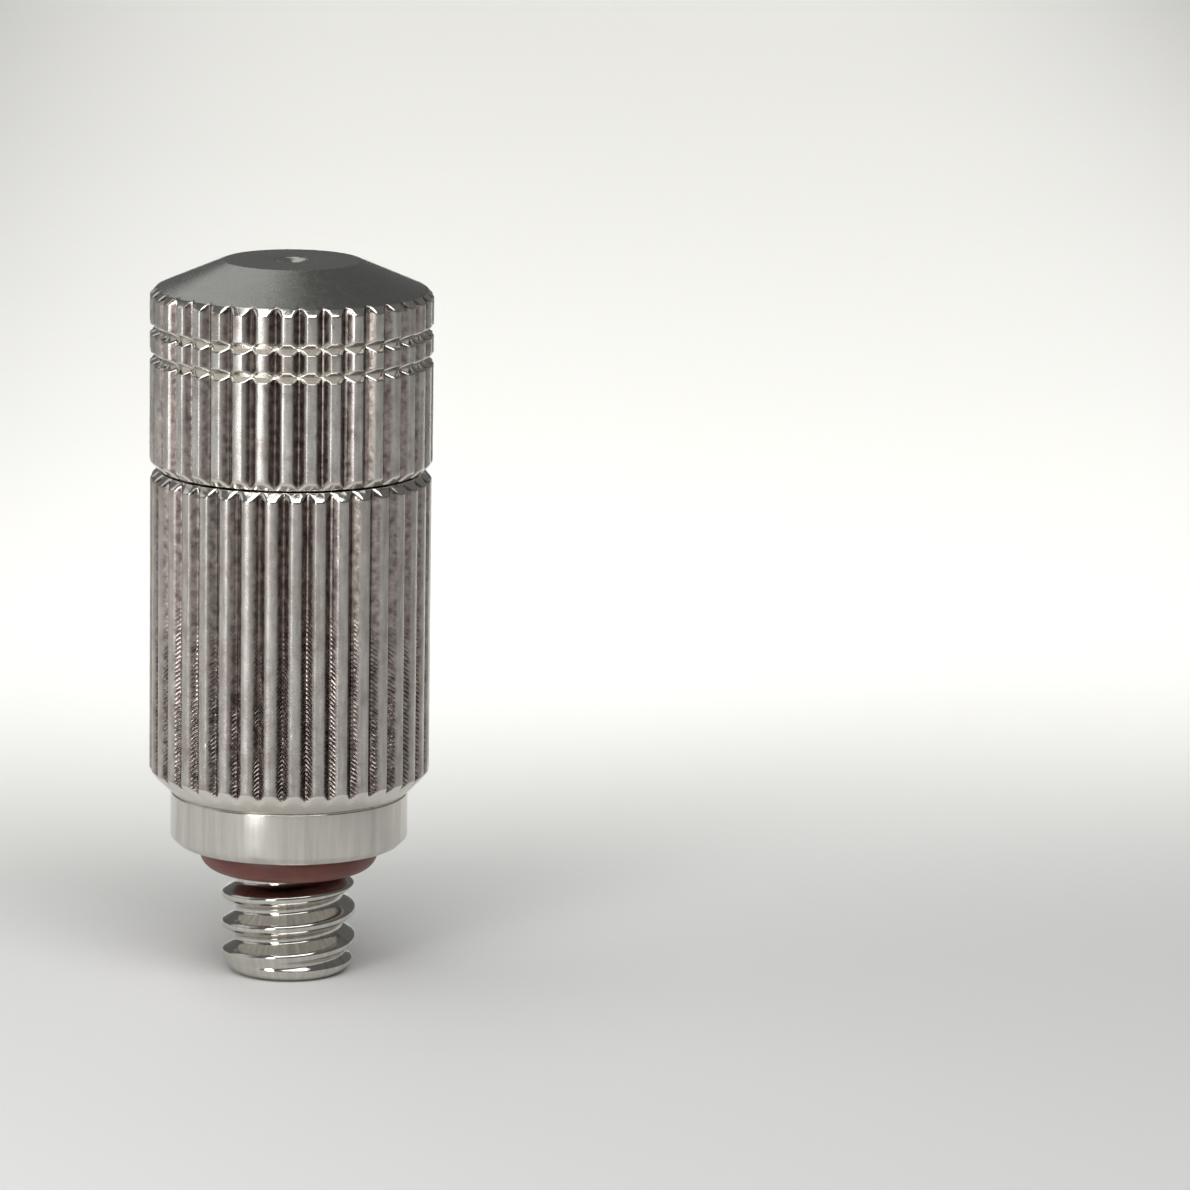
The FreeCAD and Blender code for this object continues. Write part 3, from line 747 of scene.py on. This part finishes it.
def plain_metal(name, light, dark, roughness, grain_size, depth):
    """A metal for the pieces inside, with cloudy colour and a grain."""
    nodes = Nodes(name)
    _, _, _, place = nodes.places()
    clouds = nodes.noise(place, 1.5, 4.0)
    grain = nodes.noise(place, grain_size, 4.0, 0.6)
    nodes.feed(nodes.shader, {
        "Metallic": 1.0,
        "Base Color": nodes.blend(clouds, light, dark),
        "Roughness": nodes.spread(grain, 0.3, 0.7, roughness - 0.06, roughness + 0.08),
        "Normal": nodes.bump(grain, depth),
    })
    return nodes.material


def rubber(name, light, dark, roughness):
    """Moulded rubber: a fine matt grain and a little dust."""
    nodes = Nodes(name)
    _, _, _, place = nodes.places()
    clouds = nodes.noise(place, 1.1, 4.0)
    grain = nodes.noise(place, 26.0, 4.0, 0.65)
    nodes.feed(nodes.shader, {
        "Base Color": nodes.blend(nodes.spread(clouds, 0.3, 0.7, 0.0, 1.0), light, dark),
        "Roughness": nodes.spread(grain, 0.3, 0.7, roughness - 0.08, roughness + 0.1),
        "Normal": nodes.bump(grain, 0.006),
        "Specular IOR Level": 0.45,
    })
    return nodes.material


KNURLED_STEEL = knurled_steel()
TURNED_STEEL = turned_steel()
SPRING_STEEL = plain_metal("spring_wire", rgb(0.5, 0.5, 0.5), rgb(0.4, 0.4, 0.4), 0.25, 20, 0.002)
TRIM_STEEL = plain_metal("trim_steel", rgb(0.6, 0.59, 0.57), rgb(0.5, 0.49, 0.47), 0.3, 15, 0.003)
BRASS = plain_metal("turned_brass", rgb(0.78, 0.58, 0.28), rgb(0.66, 0.47, 0.2), 0.3, 15, 0.003)
BRONZE = plain_metal("sintered_bronze", rgb(0.5, 0.32, 0.17), rgb(0.32, 0.2, 0.11), 0.6, 7, 0.06)
BROWN_RUBBER = rubber("brown_rubber", rgb(0.175, 0.050, 0.038), rgb(0.115, 0.034, 0.028), 0.40)
BLACK_RUBBER = rubber("black_rubber", rgb(0.03, 0.03, 0.03), rgb(0.018, 0.018, 0.018), 0.5)

INSIDE_FINISHES = {
    "stem_o_ring": BLACK_RUBBER,
    "cap_o_ring": BLACK_RUBBER,
    "poppet_seal": BLACK_RUBBER,
    "filter_cup": BRONZE,
    "valve_seat": TRIM_STEEL,
    "check_poppet": TRIM_STEEL,
    "swirl_core": BRASS,
}


def dress_inside():
    """The CAD nodes that stay get their finishes."""
    for node, material in INSIDE_FINISHES.items():
        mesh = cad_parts[node].data
        mesh.materials.clear()
        mesh.materials.append(material)


# ---------------------------------------------------------------- studio

# Places are in millimetres, and the floor's half width is in metres.
OBJECT_MIDDLE = Vector((0, 0, 13))
CAMERA_PLACE = Vector((0, -261.7, 66.2)) * MM
CAMERA_PITCH = math.radians(11.35)
CAMERA_YAW = math.radians(2.35)
CAMERA_ROLL = math.radians(0.82)
SENSOR = 36.0
LENS = 229.1
FLOOR_HALF = 4.0
DOWNLIGHT_Z = 150


def make_camera():
    """A long lens in front of the nozzle, above it and tilted down towards it."""
    data = bpy.data.cameras.new("camera")
    data.sensor_width = SENSOR
    data.lens = LENS
    data.clip_start = 0.01
    data.clip_end = 20.0
    camera = bpy.data.objects.new("camera", data)
    bpy.context.scene.collection.objects.link(camera)
    forward = Vector((math.sin(CAMERA_YAW) * math.cos(CAMERA_PITCH),
                      math.cos(CAMERA_YAW) * math.cos(CAMERA_PITCH),
                      -math.sin(CAMERA_PITCH)))
    level = Vector((math.cos(CAMERA_YAW), -math.sin(CAMERA_YAW), 0))
    lift = level.cross(forward)
    right = level * math.cos(CAMERA_ROLL) + lift * math.sin(CAMERA_ROLL)
    up = lift * math.cos(CAMERA_ROLL) - level * math.sin(CAMERA_ROLL)
    turn = Matrix((right, up, -forward)).transposed().to_4x4()
    camera.matrix_world = Matrix.Translation(CAMERA_PLACE) @ turn
    bpy.context.scene.camera = camera


def softbox(name, place, aim, width, height, radiance, colour=(1.0, 1.0, 1.0), spread=180):
    """A rectangular light at a place in millimetres that faces another place.

    Its power doesn't change with its spread, so a narrow one is brighter where it points.
    """
    data = bpy.data.lights.new(name, "AREA")
    data.shape = "RECTANGLE"
    data.size = width * MM
    data.size_y = height * MM
    data.energy = radiance * width * height * MM * MM * math.pi
    data.color = colour
    data.spread = math.radians(spread)
    lamp = bpy.data.objects.new(name, data)
    bpy.context.scene.collection.objects.link(lamp)
    lamp.location = Vector(place) * MM
    lamp.rotation_mode = "QUATERNION"
    lamp.rotation_quaternion = (Vector(aim) - Vector(place)).to_track_quat("-Z", "Y")
    lamp.visible_camera = False


def around(azimuth, elevation, distance):
    """A place round the nozzle's middle, in millimetres. Azimuth 0 is at the camera."""
    a, e = math.radians(azimuth), math.radians(elevation)
    away = Vector((math.sin(a) * math.cos(e), -math.cos(a) * math.cos(e), math.sin(e)))
    return OBJECT_MIDDLE + away * distance


def make_floor():
    """A plain pale matt floor."""
    mesh = bpy.data.meshes.new("floor")
    sides = ((-1, -1), (1, -1), (1, 1), (-1, 1))
    corners = [(x * FLOOR_HALF, y * FLOOR_HALF, 0) for x, y in sides]
    mesh.from_pydata(corners, [], [(0, 1, 2, 3)])
    floor = bpy.data.objects.new("floor", mesh)
    bpy.context.scene.collection.objects.link(floor)
    nodes = Nodes("pale_floor")
    clouds = nodes.noise(nodes.places()[3], 0.02)
    nodes.feed(nodes.shader, {
        "Base Color": nodes.blend(clouds, rgb(0.84, 0.84, 0.83), rgb(0.86, 0.86, 0.85)),
        "Roughness": 0.9,
        "Specular IOR Level": 0.1,
    })
    mesh.materials.append(nodes.material)


def downlight(name, x, y, width, depth, radiance, spread):
    """A softbox with a grid over the floor, so its light stays where it points."""
    warm = (1.0, 0.99, 0.95)
    softbox(name, (x, y, DOWNLIGHT_Z), (x, y, 0), width, depth, radiance, warm, spread)


def make_lights():
    """Soft light that is strong in front at the left and weak at the right."""
    downlight("overhead", -32, 14, 40, 100, 0.62, 80)
    downlight("front_left", -52, -80, 50, 84, 0.60, 44)
    downlight("left_floor", -88, 10, 60, 90, 0.40, 44)
    softbox("fill", (20, -170, 230), (15, 0, 0), 280, 170, 3.4)
    downlight("behind", 22, 274, 100, 480, 0.74, 28)
    softbox("key", around(-32, 8, 170), OBJECT_MIDDLE, 40, 70, 8.0)
    softbox("left_bank", around(-97, 22, 150), OBJECT_MIDDLE, 120, 110, 0.55)
    softbox("back_left", around(-163, 42, 190), OBJECT_MIDDLE, 80, 110, 0.55)
    world = bpy.data.worlds.new("studio")
    world.use_nodes = True
    background = world.node_tree.nodes["Background"]
    background.inputs["Color"].default_value = rgb(0.9, 0.9, 0.88)
    background.inputs["Strength"].default_value = 0.16
    bpy.context.scene.world = world
    bpy.context.scene.view_settings.view_transform = "Standard"


make_camera()
make_floor()
make_lights()
dress_inside()
make_barrel()
make_cap()
make_stem()
make_inlet_ring()
make_insert()
make_spring()
